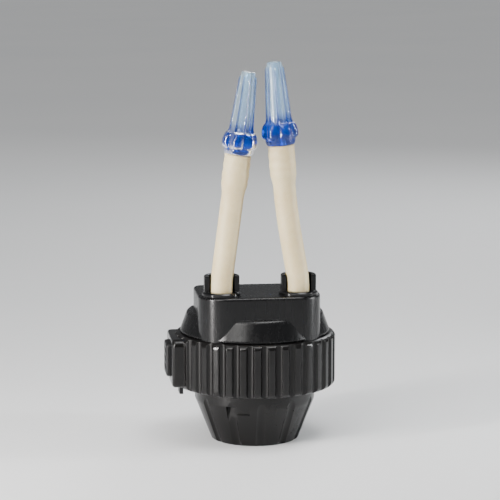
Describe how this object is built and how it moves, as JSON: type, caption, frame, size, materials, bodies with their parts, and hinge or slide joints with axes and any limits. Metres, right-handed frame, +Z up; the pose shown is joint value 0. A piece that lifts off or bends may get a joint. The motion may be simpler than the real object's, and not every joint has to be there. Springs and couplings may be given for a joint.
{
  "type": "peristaltic dosing pump head",
  "caption": "Black ribbed peristaltic pump head with a tapered drive nose, pale pump tube stubs and translucent blue barbed hose fittings.",
  "frame": {"origin": "on the rotor's axis, in the plane of the drive nose's end face, which the head stands on", "axes": "+Z up along the rotor's axis towards the tube stubs, -Y towards the side that the tube ports are on, +X to the right seen from there"},
  "size_m": [0.0391, 0.037, 0.0871],
  "materials": {
    "black_housing": "satin moulded black plastic",
    "black_grip": "satin moulded black plastic, ribbed for grip",
    "black_cover": "satin moulded black plastic",
    "black_bush": "polished moulded black plastic",
    "black_button": "fine textured black plastic",
    "tube_elastomer": "smooth matt beige pump tube elastomer",
    "blue_plastic": "translucent blue moulded plastic",
    "white_acetal": "natural white acetal",
    "seal_rubber": "black nitrile rubber",
    "screw_steel": "stainless steel",
    "spring_steel": "drawn stainless spring wire",
    "hub_steel": "turned stainless steel"
  },
  "bodies": {
    "housing": {"race_body": "black_housing", "drive_nose": "black_housing", "grip_shell": "black_grip", "top_cover": "black_cover", "port_bush_left": "black_bush", "port_bush_right": "black_bush", "tube_stop_left": "tube_elastomer", "tube_stop_right": "tube_elastomer", "pump_tube": "tube_elastomer", "hose_fitting_left": "blue_plastic", "hose_fitting_right": "blue_plastic", "lower_bush": "white_acetal", "upper_bush": "white_acetal", "shaft_seal": "seal_rubber", "nose_screws": "screw_steel", "cover_screws": "screw_steel", "button_spring": "spring_steel"},
    "rotor": {"rotor_hub": "hub_steel", "rotor_lower_plate": "white_acetal", "rotor_upper_plate": "white_acetal", "thrust_washer": "hub_steel", "retaining_ring": "spring_steel", "rotor_screws": "screw_steel", "roller_pin_1": "hub_steel", "roller_pin_2": "hub_steel", "roller_pin_3": "hub_steel"},
    "roller_one": {"roller_1": "white_acetal"},
    "roller_two": {"roller_2": "white_acetal"},
    "roller_three": {"roller_3": "white_acetal"},
    "button": {"release_button": "black_button"}
  },
  "joints": [
    {"name": "rotor_spin", "type": "hinge", "parent": "housing", "child": "rotor", "pos_m": [0, 0, 0.0192], "axis": [0, 0, 1], "continuous": true, "deforming": ["pump_tube"]},
    {"name": "roller_one_spin", "type": "hinge", "parent": "rotor", "child": "roller_one", "pos_m": [0.00667, 0.00385, 0.0192], "axis": [0, 0, 1], "continuous": true},
    {"name": "roller_two_spin", "type": "hinge", "parent": "rotor", "child": "roller_two", "pos_m": [-0.00667, 0.00385, 0.0192], "axis": [0, 0, 1], "continuous": true},
    {"name": "roller_three_spin", "type": "hinge", "parent": "rotor", "child": "roller_three", "pos_m": [0, -0.0077, 0.0192], "axis": [0, 0, 1], "continuous": true},
    {"name": "button_press", "type": "slide", "parent": "housing", "child": "button", "axis": [1, 0, 0], "range_m": [0, 0.0011], "stiffness_N_per_m": 900, "springref_m": -0.001, "deforming": ["button_spring"]}
  ],
  "couplings": [
    {"joint": "roller_one_spin", "follows": "rotor_spin", "ratio": -3.3333},
    {"joint": "roller_two_spin", "follows": "rotor_spin", "ratio": -3.3333},
    {"joint": "roller_three_spin", "follows": "rotor_spin", "ratio": -3.3333}
  ]
}
